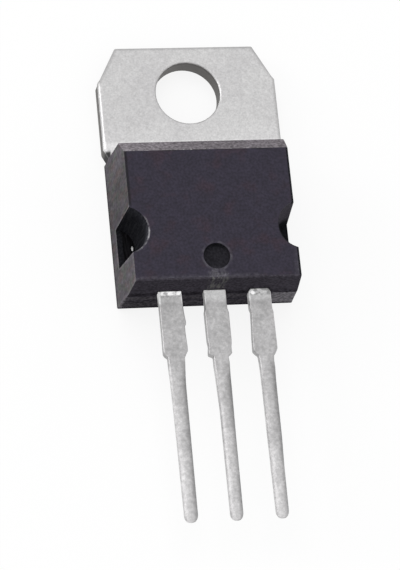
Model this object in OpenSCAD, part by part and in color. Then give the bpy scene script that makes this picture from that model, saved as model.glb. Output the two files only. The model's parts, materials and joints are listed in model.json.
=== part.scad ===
// Linear voltage regulator in a single-hole, three-lead power package.
//
// The part lies on its heatsink face. The origin is the centre of the mounting
// hole on that face, +Z points out of the front, +Y runs to the free end of the
// tab, and the three leads run to -Y. The outside is symmetric about X = 0.

/* [Tab] */
// Width of the mounting tab
tab_w = 10.35; // [10.2:0.01:10.6]
// Thickness of the copper header, tab and die pad alike
header_t = 1.27; // [1.15:0.01:1.4]
// Diameter of the mounting hole
hole_d = 3.72; // [3.5:0.01:4.1]
// Centre of the mounting hole to the free end of the tab
hole_to_end = 2.85; // [2.6:0.01:3.2]
// Width cut off each free corner of the tab
corner_w = 1.15; // [0.5:0.05:1.6]
// Length cut off each free corner of the tab
corner_l = 2.08; // [0.5:0.01:2.2]

/* [Body] */
// Width of the moulded body at the heatsink face
body_w = 10.08; // [10.0:0.01:10.2]
// Length of the moulded body from the tab side to the lead side
body_l = 8.78; // [8.4:0.01:9.1]
// Height of the front face over the heatsink face
body_h = 4.5; // [4.3:0.01:4.8]
// Width of the flat front face
face_w = 9.36; // [9.1:0.01:9.6]
// Centre of the mounting hole to the foot of the body
hole_to_body = 3.84; // [3.6:0.01:4.0]
// Height at which the sloped end of the body starts
slope_z = 3.5; // [3.0:0.05:4.0]
// Length of the sloped end, seen from the front
slope_run = 0.9; // [0.4:0.01:1.4]

/* [Notches and pin mark] */
// Diameter of a side notch at the front face
notch_face_d = 2.76; // [2.4:0.01:3.2]
// Diameter of a side notch at its floor, on the header
notch_floor_d = 2.3; // [1.6:0.01:2.4]
// Centre line of a notch outside the flank of the body, at its floor
notch_out = 0.14; // [0.05:0.01:0.2]
// Foot of the body to the centre of the notches
notch_along = 5.56; // [5.2:0.01:5.7]
// Diameter of the round mark of the mould's ejector pin
mark_d = 1.5; // [1.0:0.05:1.8]
// Depth of the pin mark
mark_depth = 0.25; // [0.1:0.05:0.4]
// Foot of the body to the centre of the pin mark
mark_along = 7.25; // [6.6:0.01:7.4]

/* [Leads] */
// Spacing of the leads
lead_pitch = 2.54; // [2.54:0.01:2.54]
// Thickness of the leads
lead_t = 0.5; // [0.4:0.01:0.6]
// Height of the back of the leads over the heatsink face
lead_z = 2.58; // [2.4:0.01:2.7]
// Width of a lead next to the body
lead_w = 1.34; // [1.2:0.01:1.5]
// Length of the wide part of a lead outside the body
wide_l = 3.61; // [3.0:0.01:4.2]
// Width of a pin where it leaves the wide part
pin_w = 0.86; // [0.65:0.01:1.0]
// Width of a pin just before its end
pin_end_w = 0.73; // [0.55:0.01:0.8]
// Length of the leads outside the body
lead_l = 13.12; // [12.7:0.01:14.2]

/* [Inside] */
// Width of the die pad between the tab and the ears
pad_w = 8.2; // [7.6:0.1:8.6]
// Length of the chip across the part
die_w = 2.4; // [2.0:0.1:2.6]
// Length of the chip along the part
die_l = 2.0; // [1.6:0.1:2.2]
// Thickness of the chip
die_t = 0.28; // [0.2:0.01:0.4]
// Thickness of the solder under the chip
solder_t = 0.05; // [0.03:0.01:0.08]
// Diameter of the bond wires
wire_d = 0.2; // [0.12:0.01:0.25]

/* [Hidden] */
$fn = 96;

EPOXY = [0.23, 0.22, 0.26];
TIN = [0.79, 0.79, 0.79];
SILICON = [0.36, 0.38, 0.42];
SOLDER = [0.62, 0.62, 0.6];
ALUMINIUM = [0.86, 0.86, 0.88];

past = 1;                    // how far a cutting tool reaches past the body

// places along the part, from the tab down to the pin ends
body_top = -hole_to_body;
body_bottom = body_top - body_l;
notch_y = body_top - notch_along;
notch_x = flank_at(header_t) + notch_out;
mark_y = body_top - mark_along;
shoulder_y = body_bottom - wide_l;
pin_end_y = body_bottom - lead_l;

// draft of the moulding, which leaves the mould on both sides of its parting line
parting_z = lead_z;
front_draft = 0.19;          // lead side, from the parting line to the front face
back_draft = 0.12;           // lead side, from the parting line to the heatsink face
top_draft = 0.02;            // tab side, from the header up to the slope
foot_draft = 0.05;           // tab side, from the header down to the heatsink face

// header: the tab steps in towards the body, and ears carry the notches
step_w = 0.22;
step_l = 0.52;
step_y = body_top + step_l;
ear_w = 2 * flank_at(header_t) - 0.2;
ear_top = notch_y + 1.25;
pad_bottom = notch_y - 1.2;
corner_step_w = 0.15;        // small step where a free corner's cut meets the side
corner_step_l = 0.2;

// leads: a post inside the body that the wires land on, and the pin's end
post_w = 1.9;
post_l = 1.1;
post_bottom = body_bottom + 0.6;
post_neck = 0.3;             // length over which a post narrows to its lead
pin_taper = 0.2;             // length over which a lead narrows to its pin
pin_chamfer = 0.14;
root_l = 0.3;                // length by which the centre lead overlaps its bends

// chip, and the surfaces that its wires are bonded to
die_y = notch_y + 1.3;
die_top = header_t + solder_t + die_t;
solder_rim = 0.1;
post_face = lead_z + lead_t;
post_bond_y = post_bottom + 0.55 * post_l;
output_spread = 0.4;         // of the two wires on the output post, from its middle
bond_d = 1.8 * wire_d;
bond_t = wire_d;
wire_sag = 0.9;
ground_wire_sag = 0.5;
ground_wire_l = 0.6;         // from the edge of the chip to the bond on the header

// half the width of the moulding at height z, on its straight drafted flanks
function flank_at(z) = (body_w + (face_w - body_w) * z / body_h) / 2;

// closes a half outline, given from the tab end to the lead end, about X = 0
function both_sides(half) =
    concat(half, [for (i = [len(half) - 1 : -1 : 0]) [-half[i][0], half[i][1]]]);

// ---- moulding -------------------------------------------------------------

// side view of the moulding as [y, z]
module body_side_view() {
    polygon([
        [body_top - foot_draft, 0],
        [body_top, header_t],
        [body_top - top_draft, slope_z],
        [body_top - slope_run, body_h],
        [body_bottom + front_draft, body_h],
        [body_bottom, parting_z],
        [body_bottom + back_draft, 0]]);
}

// view along the leads as [x, z]
module body_end_view() {
    polygon(both_sides([
        [flank_at(body_h), body_h],
        [flank_at(0), 0]]));
}

module body_form() {
    intersection() {
        translate([-body_w / 2 - past, 0, 0])
            rotate([90, 0, 90])
                linear_extrude(body_w + 2 * past) body_side_view();
        translate([0, body_top + past, 0])
            rotate([90, 0, 0])
                linear_extrude(body_l + 2 * past) body_end_view();
    }
}

// tapered notch that the mould's hold-down pin leaves above each ear
module notch(side) {
    widening = (notch_face_d - notch_floor_d) / (body_h - header_t);
    translate([side * notch_x, notch_y, header_t])
        cylinder(h = body_h + past - header_t,
                 d1 = notch_floor_d, d2 = notch_face_d + widening * past);
}

module pin_mark() {
    translate([0, mark_y, body_h - mark_depth])
        cylinder(h = mark_depth + past, d = mark_d);
}

module epoxy_body() {
    color(EPOXY)
        difference() {
            body_form();
            for (side = [-1, 1]) notch(side);
            pin_mark();
            header_plate(below = past);
            ground_lead_form();
            side_lead(-1);
            side_lead(1);
            silicon_die();
            die_attach_solder();
            input_bond_wire();
            output_bond_wire();
            output_sense_wire();
            ground_bond_wire();
        }
}

// ---- header and leads -----------------------------------------------------

// tab, die pad and ears, seen from the front
module header_outline() {
    inset_slope = step_l / step_w;
    pad_inset = (tab_w - pad_w) / 2;
    ear_rise = (ear_w - pad_w) / 2;
    polygon(both_sides([
        [tab_w / 2 - corner_w, hole_to_end],
        [tab_w / 2 - corner_step_w, hole_to_end - corner_l + corner_step_l],
        [tab_w / 2, hole_to_end - corner_l],
        [tab_w / 2, step_y],
        [pad_w / 2, step_y - pad_inset * inset_slope],
        [pad_w / 2, ear_top + ear_rise],
        [ear_w / 2, ear_top],
        [ear_w / 2, pad_bottom]]));
}

module header_plate(below = 0) {
    translate([0, 0, -below])
        linear_extrude(header_t + below) header_outline();
}

// front view of a lead from y = top down to the pin's end, about X = 0
module lead_outline(top) {
    polygon(both_sides([
        [lead_w / 2, top],
        [lead_w / 2, shoulder_y],
        [pin_w / 2, shoulder_y - pin_taper],
        [pin_end_w / 2, pin_end_y + pin_chamfer],
        [pin_end_w / 2 - pin_chamfer, pin_end_y]]));
}

// centre lead, one stamping with the header in the real part: it is bent up from
// the top of the die pad to the plane of the leads
module ground_lead_form() {
    rise = lead_z + lead_t - header_t;
    lean = 60;
    // a bend sets the inner corner of the strip back by this much
    bend_back = lead_t * tan(lean / 2);
    bend_top = pad_bottom - bend_back / 2;
    bend_bottom = bend_top - rise / tan(lean);
    translate([-lead_w / 2, 0, 0])
        rotate([90, 0, 90])
            linear_extrude(lead_w)
                polygon([
                    [pad_bottom, header_t],
                    [bend_top, header_t],
                    [bend_bottom, lead_z + lead_t],
                    [body_bottom, lead_z + lead_t],
                    [body_bottom, lead_z],
                    [bend_bottom - bend_back, lead_z],
                    [bend_top - bend_back, header_t - lead_t],
                    [pad_bottom, header_t - lead_t]]);
    translate([0, 0, lead_z])
        linear_extrude(lead_t) lead_outline(body_bottom + root_l);
}

module tab_header() {
    color(TIN)
        difference() {
            header_plate();
            translate([0, 0, -past])
                cylinder(h = header_t + 2 * past, d = hole_d);
        }
}

module ground_lead() { color(TIN) ground_lead_form(); }

// lead at one side, with the post inside the body that its wires land on
module side_lead(side) {
    translate([side * lead_pitch, 0, lead_z])
        linear_extrude(lead_t)
            union() {
                lead_outline(post_bottom);
                polygon(both_sides([
                    [post_w / 2, post_bottom + post_l],
                    [post_w / 2, post_bottom],
                    [lead_w / 2, post_bottom - post_neck]]));
            }
}

module input_lead() { color(TIN) side_lead(-1); }

module output_lead() { color(TIN) side_lead(1); }

// ---- chip and wires -------------------------------------------------------

module die_attach_solder() {
    color(SOLDER)
        translate([-die_w / 2 - solder_rim, die_y - die_l / 2 - solder_rim, header_t])
            cube([die_w + 2 * solder_rim, die_l + 2 * solder_rim, solder_t]);
}

module silicon_die() {
    color(SILICON)
        translate([-die_w / 2, die_y - die_l / 2, header_t + solder_t])
            cube([die_w, die_l, die_t]);
}

// wire from a to b, both [x, y, z] on the surfaces it is bonded to: one round arc
// in an upright plane, rising by sag over the straight line between its two bonds
module bond_wire(a, b, sag) {
    run = norm([b[0] - a[0], b[1] - a[1]]);
    rise = b[2] - a[2];
    chord = norm([run, rise]);
    arc_r = (chord * chord / 4 + sag * sag) / (2 * sag);
    slope = atan2(rise, run);
    half_arc = asin(chord / 2 / arc_r);
    centre = [run / 2 + (arc_r - sag) * sin(slope), rise / 2 - (arc_r - sag) * cos(slope)];
    for (bond = [a, b])
        translate(bond) cylinder(h = bond_t, d = bond_d);
    translate([a[0], a[1], a[2] + bond_t / 2])
        rotate([0, 0, atan2(b[1] - a[1], b[0] - a[0])])
            translate([centre[0], 0, centre[1]])
                rotate([90, 0, 0])
                    rotate([0, 0, 90 + slope - half_arc])
                        rotate_extrude(angle = 2 * half_arc)
                            translate([arc_r, 0]) circle(d = wire_d);
}

// place on top of the chip, with u and v from -1 to 1 between its edges
function on_chip(u, v) = [u * die_w / 2, die_y + v * die_l / 2, die_top];

module input_bond_wire() {
    color(ALUMINIUM)
        bond_wire(on_chip(-0.6, -0.5), [-lead_pitch, post_bond_y, post_face], wire_sag);
}

module output_bond_wire() {
    color(ALUMINIUM)
        bond_wire(on_chip(0.5, -0.6),
                  [lead_pitch - output_spread, post_bond_y, post_face], wire_sag);
}

module output_sense_wire() {
    color(ALUMINIUM)
        bond_wire(on_chip(0.65, 0.4),
                  [lead_pitch + output_spread, post_bond_y, post_face], wire_sag);
}

module ground_bond_wire() {
    color(ALUMINIUM)
        bond_wire(on_chip(0, -0.65),
                  [0, die_y - die_l / 2 - ground_wire_l, header_t], ground_wire_sag);
}

epoxy_body();
tab_header();
ground_lead();
input_lead();
output_lead();
silicon_die();
die_attach_solder();
input_bond_wire();
output_bond_wire();
output_sense_wire();
ground_bond_wire();
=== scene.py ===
"""Looks of a linear voltage regulator in a three-lead power package.

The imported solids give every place. Four new pieces stand for the five solids that can be seen: the
stamped header with its own lead, which is two of them, the two side leads, and the moulded body.
Their edges are rolled, torn and rounded as on the real part. The chip, its solder and its bond
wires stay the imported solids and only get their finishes.

Shapes are worked out in millimetres and turned into metres when a piece is finished. Every shape
is a grid of points, computed as whole arrays from two parameters, and its formula is in words in
the docstring of the function that computes it.
"""

import json
import logging
import math
from dataclasses import dataclass, field
from enum import Enum, IntEnum
from functools import reduce
from typing import ClassVar

import bmesh
import bpy
import numpy as np
from mathutils import Matrix, Vector
from mathutils.geometry import delaunay_2d_cdt


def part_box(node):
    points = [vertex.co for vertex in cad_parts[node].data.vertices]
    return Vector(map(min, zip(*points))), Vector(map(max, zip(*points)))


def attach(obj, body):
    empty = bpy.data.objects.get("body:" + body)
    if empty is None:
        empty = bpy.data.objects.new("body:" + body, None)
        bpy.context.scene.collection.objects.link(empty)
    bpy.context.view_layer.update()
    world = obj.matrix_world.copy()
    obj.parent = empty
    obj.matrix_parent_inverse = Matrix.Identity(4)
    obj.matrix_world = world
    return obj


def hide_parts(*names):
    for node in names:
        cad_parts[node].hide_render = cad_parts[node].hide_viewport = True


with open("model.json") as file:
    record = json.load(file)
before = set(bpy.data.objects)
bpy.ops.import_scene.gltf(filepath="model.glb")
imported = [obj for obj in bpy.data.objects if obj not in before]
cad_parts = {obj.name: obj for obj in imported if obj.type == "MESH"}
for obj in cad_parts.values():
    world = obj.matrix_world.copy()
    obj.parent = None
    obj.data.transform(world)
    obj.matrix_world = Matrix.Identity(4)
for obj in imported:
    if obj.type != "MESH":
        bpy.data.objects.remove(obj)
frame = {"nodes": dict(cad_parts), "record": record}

log = logging.getLogger("regulator")

MM = 0.001
BODY = "root"
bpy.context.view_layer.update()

# A value or a tint in a material is either an output of a node or a constant.
Numbers = tuple[float, float, float]
Colour = tuple[float, float, float]
Socket = bpy.types.NodeSocket
Value = Socket | float
Tint = Socket | Colour


class Side(Enum):
    """The place of a lead, as the sign of X."""

    INPUT = -1
    GROUND = 0
    OUTPUT = 1


class Wall(IntEnum):
    """The kinds of wall that the body has, as the numbers of their finishes."""

    FACE = 0
    POLISHED = 1
    LEAD_END = 2
    ERODED = 3


# Right and left edge of each lead: a distance from the body and how far the edge lies there from
# the centre line, in mm. The input lead's right edge keeps the stub of the bar that joined the
# leads before they were cut, and the output lead's root has rounded corners.
EDGES = {
    Side.INPUT: (
        ((0, 0.63), (1.09, 0.665), (1.39, 0.69), (1.79, 0.73), (1.92, 0.725), (2.01, 0.645),
         (2.39, 0.652), (3.19, 0.685), (3.45, 0.685), (3.69, 0.55), (3.84, 0.48), (4.49, 0.455),
         (5.39, 0.425), (9.39, 0.4), (13.19, 0.375)),
        ((0, 0.67), (2.49, 0.67), (3.29, 0.682), (3.54, 0.675), (3.67, 0.6), (3.77, 0.46),
         (4.39, 0.455), (5.39, 0.432), (8.39, 0.395), (13.19, 0.375))),
    Side.GROUND: (
        ((0, 0.6), (1.09, 0.6), (1.31, 0.665), (2.89, 0.66), (3.14, 0.64), (3.31, 0.608),
         (3.69, 0.615), (3.79, 0.385), (4.19, 0.425), (5.69, 0.425), (8.39, 0.385), (13.19, 0.345)),
        ((0, 0.64), (0.99, 0.64), (1.21, 0.698), (2.89, 0.693), (3.19, 0.65), (3.49, 0.69),
         (3.71, 0.695), (3.81, 0.44), (4.29, 0.45), (5.39, 0.41), (6.89, 0.355), (13.19, 0.37))),
    Side.OUTPUT: (
        ((0, 0.5), (0.08, 0.58), (0.19, 0.61), (1.17, 0.612), (1.34, 0.655), (3.49, 0.662),
         (3.61, 0.61), (3.79, 0.52), (3.91, 0.42), (4.19, 0.405), (4.59, 0.435), (5.89, 0.418),
         (8.59, 0.41), (10.19, 0.365), (13.19, 0.345)),
        ((0, 0.53), (0.08, 0.62), (0.19, 0.665), (1.09, 0.668), (1.25, 0.61), (2.09, 0.645),
         (2.69, 0.685), (3.57, 0.708), (3.71, 0.59), (3.83, 0.445), (4.19, 0.415), (5.89, 0.395),
         (8.89, 0.39), (13.19, 0.36)))}


# ---- surfaces ---------------------------------------------------------------------------------


@dataclass
class Skin:
    """A surface in millimetres, put together from grids of points and the flat caps between them.

    Attributes:
        points: One row for each point.
        faces: The point numbers of each face.
        finishes: The number of each face's finish.
    """

    points: np.ndarray = field(default_factory=lambda: np.zeros((0, 3)))
    faces: list[list[int]] = field(default_factory=list)
    finishes: list[int] = field(default_factory=list)

    def add_faces(self, faces: list[list[int]], finish: int | np.ndarray = 0) -> None:
        """Adds faces with one finish, or with a finish number for each of them."""
        self.faces += faces
        self.finishes += np.broadcast_to(finish, len(faces)).tolist()

    def add_grid(self, grid: np.ndarray, finish: int | np.ndarray = 0) -> np.ndarray:
        """Adds closed rings of points, with a quad between neighbours in and across the rings.

        Args:
            grid: Points as [ring, place in the ring, axis].
            finish: The finish number, or one for each quad as [ring, place in the ring].

        Returns:
            The point numbers as [ring, place in the ring].
        """
        rings, places = grid.shape[:2]
        index = len(self.points) + np.arange(rings * places).reshape(rings, places)
        beside = np.roll(index, -1, axis=1)
        quads = np.stack([index[:-1], beside[:-1], beside[1:], index[1:]], axis=-1)
        self.points = np.vstack([self.points, grid.reshape(-1, 3)])
        self.add_faces(quads.reshape(-1, 4).tolist(), np.ravel(finish))
        return index

    def add_end(self, ring: np.ndarray, finish: int = 0) -> None:
        """Closes a ring of point numbers with one flat face."""
        self.add_faces([ring.tolist()], finish)

    def add_level(self, outer: np.ndarray, *holes: np.ndarray) -> None:
        """Fills the level area between an outer ring and the round holes in it.

        Args:
            outer: Point numbers of the ring around the area, which may bend inwards.
            holes: Point numbers of each hole's ring.
        """
        rings = [outer, *holes]
        index = np.concatenate(rings)
        places = [Vector(p) for p in self.points[index, :2]]
        starts = np.cumsum([0] + [len(r) for r in rings])
        edges = []
        for start, ring in zip(starts, rings):
            here = start + np.arange(len(ring))
            edges += np.stack([here, np.roll(here, -1)], axis=-1).tolist()
        found = delaunay_2d_cdt(places, edges, [], 1, 1e-7)
        own = np.array([index[same[0]] for same in found[3]])
        triangles = own[np.array(found[2])]
        for ring in holes:
            triangles = triangles[~np.isin(triangles, ring).all(axis=1)]
        self.add_faces(triangles.tolist())

    def piece(self, name: str) -> bpy.types.Object:
        """Makes an object of the surface, closed where its points meet and facing outwards.

        Args:
            name: Name of the object and its mesh.

        Returns:
            The object, in millimetres.
        """
        mesh = bpy.data.meshes.new(name)
        mesh.from_pydata(self.points.tolist(), [], self.faces)
        mesh.polygons.foreach_set("material_index", self.finishes)
        close_mesh(mesh)
        thing = bpy.data.objects.new(name, mesh)
        bpy.context.scene.collection.objects.link(thing)
        return thing


def close_mesh(mesh: bpy.types.Mesh, gap: float = 1e-4) -> None:
    """Merges the points of a mesh that nearly meet and turns its faces outwards.

    Args:
        mesh: The mesh.
        gap: How far apart points that are merged may lie.
    """
    shape = bmesh.new()
    shape.from_mesh(mesh)
    bmesh.ops.remove_doubles(shape, verts=shape.verts, dist=gap)
    bmesh.ops.recalc_face_normals(shape, faces=shape.faces)
    shape.to_mesh(mesh)
    shape.free()


def smooth_step(low: float, high: float, value: np.ndarray) -> np.ndarray:
    """Rises from 0 at low to 1 at high along a cubic that is level at both ends."""
    share = np.clip((value - low) / (high - low), 0, 1)
    return share * share * (3 - 2 * share)


def soft_ramp(value: np.ndarray, softness: float) -> np.ndarray:
    """Follows zero below zero and the value above it, joined by a branch of a hyperbola.

    The result is half the sum of the value and the hypotenuse over the value and the softness.
    """
    return (value + np.hypot(value, softness)) / 2


def rounded_outline(corners: np.ndarray, radii: np.ndarray, inset: float, steps: int) -> np.ndarray:
    """Outlines a polygon, drawn inwards by a distance, with an arc at each of its corners.

    Each corner moves along its mitre, so that both of its edges move by the inset. Its arc keeps
    the centre that it has on the outermost outline, so an outward corner's radius shrinks by the
    inset and an inward corner's grows by it.

    Args:
        corners: The corners as [x, y], anticlockwise.
        radii: The radius at each corner.
        inset: How far the outline lies inside the polygon.
        steps: Points on each arc.

    Returns:
        The points as [place, axis].
    """
    smallest = 0.004
    back = np.roll(corners, 1, axis=0) - corners
    ahead = np.roll(corners, -1, axis=0) - corners
    back /= np.linalg.norm(back, axis=1, keepdims=True)
    ahead /= np.linalg.norm(ahead, axis=1, keepdims=True)
    turn = ahead[:, 1] * back[:, 0] - ahead[:, 0] * back[:, 1]
    outward = np.sign(-turn)
    middle = back + ahead
    middle /= np.maximum(np.linalg.norm(middle, axis=1, keepdims=True), 1e-9)
    half = np.arccos(np.clip(np.sum(back * ahead, axis=1), -1, 1)) / 2
    moved = corners + middle * (inset * outward / np.sin(half))[:, None]
    radius = np.maximum(radii - inset * outward, smallest)
    centre = moved + middle * (radius / np.sin(half))[:, None]
    sweep = (np.pi / 2 - half)[:, None] * np.linspace(-1, 1, steps)[None, :]
    across = np.stack([-middle[:, 1], middle[:, 0]], axis=-1) * outward[:, None]
    arms = -middle[:, None] * np.cos(sweep)[..., None] - across[:, None] * np.sin(sweep)[..., None]
    return (centre[:, None] + arms * radius[:, None, None]).reshape(-1, 2)


def both_sides(half: list[tuple[float, float]]) -> np.ndarray:
    """Completes a half outline, given at positive X from -Y to +Y, with its mirror image."""
    right = np.array(half, float)
    return np.vstack([right, right[::-1] * [-1, 1]])


@dataclass(frozen=True)
class CutEdge:
    """The section of a stamped edge, from the face that the punch met first to the other.

    The punch rolls the face over, its flank burnishes the upper part of the wall, and the rest
    tears and lies a little further in. Sizes are in millimetres.

    Attributes:
        thickness: Thickness of the sheet.
        roll_w: Width of the rolled corner on the face.
        roll_h: Height of the rolled corner on the wall.
        burnished: Share of the thickness that the roll and the burnished band take up.
        tear: How far the torn part lies inside the burnished one.
        burr: Radius of the corner at the other face.
        support: Width of the level strip that the section keeps of each face.
    """

    thickness: float
    roll_w: float
    roll_h: float
    burnished: float = 0.4
    tear: float = 0.03
    burr: float = 0.02
    support: float = 0.05

    def profile(self, steps: int = 7) -> tuple[np.ndarray, np.ndarray]:
        """Works out the section: a quarter of an ellipse, a straight band, a step and a small arc.

        Args:
            steps: Points on the rolled corner.

        Returns:
            The inset and the height over the other face, one value for each point.
        """
        roll = np.linspace(0, np.pi / 2, steps)
        arc = np.linspace(0, np.pi / 2, 4)
        band_end = self.thickness * (1 - self.burnished)
        inset = np.concatenate([
            [self.roll_w + self.support],
            self.roll_w * (1 - np.sin(roll)),
            [0, self.tear],
            self.tear + self.burr * (1 - np.cos(arc)),
            [self.tear + self.burr + self.support]])
        height = np.concatenate([
            [self.thickness],
            self.thickness - self.roll_h * (1 - np.cos(roll)),
            [band_end, band_end - 2 * self.tear],
            self.burr * (1 - np.sin(arc)),
            [0]])
        return inset, height


# ---- booleans and finishing of pieces -----------------------------------------------------------


def combine(piece: bpy.types.Object, operation: str, tools: list[bpy.types.Object]) -> None:
    """Joins tools to a piece or cuts them out of it, and removes the tools.

    Args:
        piece: The object whose mesh is changed.
        operation: UNION or DIFFERENCE, as Blender names them.
        tools: Closed objects, in the order in which they are applied.
    """
    for tool in tools:
        step = piece.modifiers.new("step", "BOOLEAN")
        step.operation = operation
        step.solver = "EXACT"
        step.object = tool
    bpy.context.view_layer.update()
    shaped = piece.evaluated_get(bpy.context.evaluated_depsgraph_get())
    mesh = bpy.data.meshes.new_from_object(shaped)
    piece.modifiers.clear()
    piece.data = mesh
    for tool in tools:
        bpy.data.objects.remove(tool)


def packed_copy(node: str) -> bpy.types.Object:
    """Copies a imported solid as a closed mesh, to cut with.

    Args:
        node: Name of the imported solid.

    Returns:
        The copy, in millimetres.
    """
    mesh = frame["nodes"][node].data.copy()
    mesh.transform(Matrix.Scale(1 / MM, 4))
    close_mesh(mesh)
    thing = bpy.data.objects.new(node + "_tool", mesh)
    bpy.context.scene.collection.objects.link(thing)
    return thing


def worn_copy(piece: bpy.types.Object, name: str, floor: float) -> bpy.types.Object:
    """Copies a piece as a cutting tool, drawn down where it lies on the ground.

    Args:
        piece: The object, with its mesh in millimetres.
        name: Name of the copy.
        floor: The height that the points on the ground move to.

    Returns:
        The copy.
    """
    tool = piece.copy()
    tool.name = name
    tool.data = piece.data.copy()
    points = np.empty(len(tool.data.vertices) * 3)
    tool.data.vertices.foreach_get("co", points)
    points = points.reshape(-1, 3)
    points[points[:, 2] < 1e-4, 2] = floor
    tool.data.vertices.foreach_set("co", points.ravel())
    bpy.context.scene.collection.objects.link(tool)
    return tool


def finish_piece(piece: bpy.types.Object, materials: list[bpy.types.Material], slot: str,
                 *nodes: str) -> None:
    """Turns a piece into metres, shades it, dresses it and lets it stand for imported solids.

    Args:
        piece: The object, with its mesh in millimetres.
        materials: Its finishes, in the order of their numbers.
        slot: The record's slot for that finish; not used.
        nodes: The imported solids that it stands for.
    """
    sharp_from = math.radians(32)
    close_mesh(piece.data)
    piece.data.transform(Matrix.Scale(MM, 4))
    piece.data.polygons.foreach_set("use_smooth", [True] * len(piece.data.polygons))
    piece.data.set_sharp_from_angle(angle=sharp_from)
    numbers = np.zeros(len(piece.data.polygons), np.int32)
    piece.data.polygons.foreach_get("material_index", numbers)
    piece.data.materials.clear()
    for material in materials:
        piece.data.materials.append(material)
    piece.data.polygons.foreach_set("material_index", np.minimum(numbers, len(materials) - 1))
    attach(piece, BODY)
    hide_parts(*nodes)
    log.info("%s: %d faces, stands for %s", piece.name, len(piece.data.polygons), ", ".join(nodes))


# ---- finishes -----------------------------------------------------------------------------------


class Graph:
    """Builds a node material with its patterns on the piece's Object coordinates in millimetres.

    Attributes:
        material: The material.
        tree: Its node tree.
        shader: Its surface shader.
        place: The piece's Object coordinates, in millimetres.
    """

    def __init__(self, name: str) -> None:
        """Makes an empty material with a surface shader and its millimetre coordinates.

        Args:
            name: Name of the material.
        """
        self.material = bpy.data.materials.new(name)
        self.material.use_nodes = True
        self.tree = self.material.node_tree
        self.shader = self.tree.nodes["Principled BSDF"]
        place = self.tree.nodes.new("ShaderNodeTexCoord")
        self.place = self.math_vector("MULTIPLY", place.outputs["Object"], (1 / MM,) * 3)

    def link(self, value: object, socket: Socket) -> None:
        """Feeds a socket from another node's output, or sets it to a constant.

        Args:
            value: The output or the constant.
            socket: The socket that gets it.
        """
        if isinstance(value, Socket):
            self.tree.links.new(value, socket)
        else:
            socket.default_value = value

    def set(self, **values: object) -> None:
        """Sets sockets of the surface shader, named with underscores for spaces."""
        for name, value in values.items():
            self.link(value, self.shader.inputs[name.replace("_", " ")])

    def add(self, kind: str, inputs: dict[int | str, object], **settings: object) -> bpy.types.Node:
        """Adds a node with its settings and feeds its inputs.

        Args:
            kind: The node's type, without the words that all of them start with.
            inputs: What each input gets, by its number or name.
            settings: The node's own settings, by name.

        Returns:
            The node.
        """
        node = self.tree.nodes.new("ShaderNode" + kind)
        for name, value in settings.items():
            setattr(node, name, value)
        for key, value in inputs.items():
            self.link(value, node.inputs[key])
        return node

    def math(self, operation: str, first: Value, second: Value = 0.0) -> Socket:
        """Adds a Math node and returns its result."""
        return self.add("Math", {0: first, 1: second}, operation=operation).outputs[0]

    def math_vector(self, operation: str, first: object, second: object) -> Socket:
        """Adds a Vector Math node and returns its vector."""
        return self.add("VectorMath", {0: first, 1: second}, operation=operation).outputs["Vector"]

    def times(self, *values: Value) -> Socket:
        """Multiplies two or more values."""
        return reduce(lambda total, value: self.math("MULTIPLY", total, value), values)

    def plus(self, *values: Value) -> Socket:
        """Adds two or more values."""
        return reduce(lambda total, value: self.math("ADD", total, value), values)

    def minus(self, first: Value, second: Value) -> Socket:
        """Takes the second value from the first."""
        return self.math("SUBTRACT", first, second)

    def but(self, share: Value) -> Socket:
        """Gives what a share leaves of 1."""
        return self.math("SUBTRACT", 1, share)

    def most(self, first: Value, second: Value) -> Socket:
        """Gives the larger of two values."""
        return self.math("MAXIMUM", first, second)

    def least(self, first: Value, second: Value) -> Socket:
        """Gives the smaller of two values."""
        return self.math("MINIMUM", first, second)

    def off(self, value: Value) -> Socket:
        """Gives how far a value is from zero, on either side."""
        return self.math("ABSOLUTE", value)

    def distance(self, across: Value, along: Value) -> Socket:
        """Gives how far off two offsets lead, as the root of the sum of their squares."""
        return self.math("SQRT", self.plus(self.times(across, across), self.times(along, along)))

    def between(self, value: Value, low: float, high: float, start: float = 0.0,
                end: float = 1.0) -> Socket:
        """Maps a value smoothly and clamped, from low and high to start and end.

        Args:
            value: The value.
            low: Where the result is start. It may be larger than high.
            high: Where the result is end.
            start: The result on low's side.
            end: The result on high's side.

        Returns:
            The result, along a cubic that is level at both ends.
        """
        inputs = {"Value": value, "From Min": low, "From Max": high, "To Min": start, "To Max": end}
        return self.add("MapRange", inputs, interpolation_type="SMOOTHSTEP").outputs["Result"]

    def band(self, value: Value, low: float, high: float, soft: float) -> Socket:
        """Gives 1 where a value lies between low and high and 0 elsewhere, with soft edges."""
        return self.times(self.between(value, low - soft, low + soft),
                          self.between(value, high - soft, high + soft, 1, 0))

    def noise(self, size: float, detail: float = 2.0, stretch: Numbers = (1, 1, 1),
              shift: float = 0.0) -> Socket:
        """Gives a cloudy pattern around one half.

        Args:
            size: Size of its patches in millimetres.
            detail: Number of finer layers.
            stretch: How many times longer the patches are along each axis.
            shift: Moves the pattern, so that two of the same size differ.

        Returns:
            A number from 0 to 1.
        """
        where = self.math_vector("DIVIDE", self.place, stretch)
        where = self.math_vector("ADD", where, (shift, shift, shift))
        inputs = {"Vector": where, "Scale": 1 / size, "Detail": detail}
        return self.add("TexNoise", inputs).outputs["Fac"]

    def grain(self, size: float, strength: Value, shift: float = 0.0,
              stretch: Numbers = (1, 1, 1)) -> Socket:
        """Gives a factor around 1 that follows a fine noise.

        Args:
            size: Size of its grains in millimetres.
            strength: How far the factor strays from 1 where the noise is strong.
            shift: Moves the pattern.
            stretch: How many times longer the grains are along each axis.

        Returns:
            The factor.
        """
        spread = self.between(self.noise(size, 3, stretch, shift), 0.25, 0.75, -1, 1)
        return self.plus(1, self.times(spread, strength))

    def axes(self, vector: Socket) -> list[Socket]:
        """Splits a vector into its three numbers."""
        return list(self.add("SeparateXYZ", {0: vector}).outputs)

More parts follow.
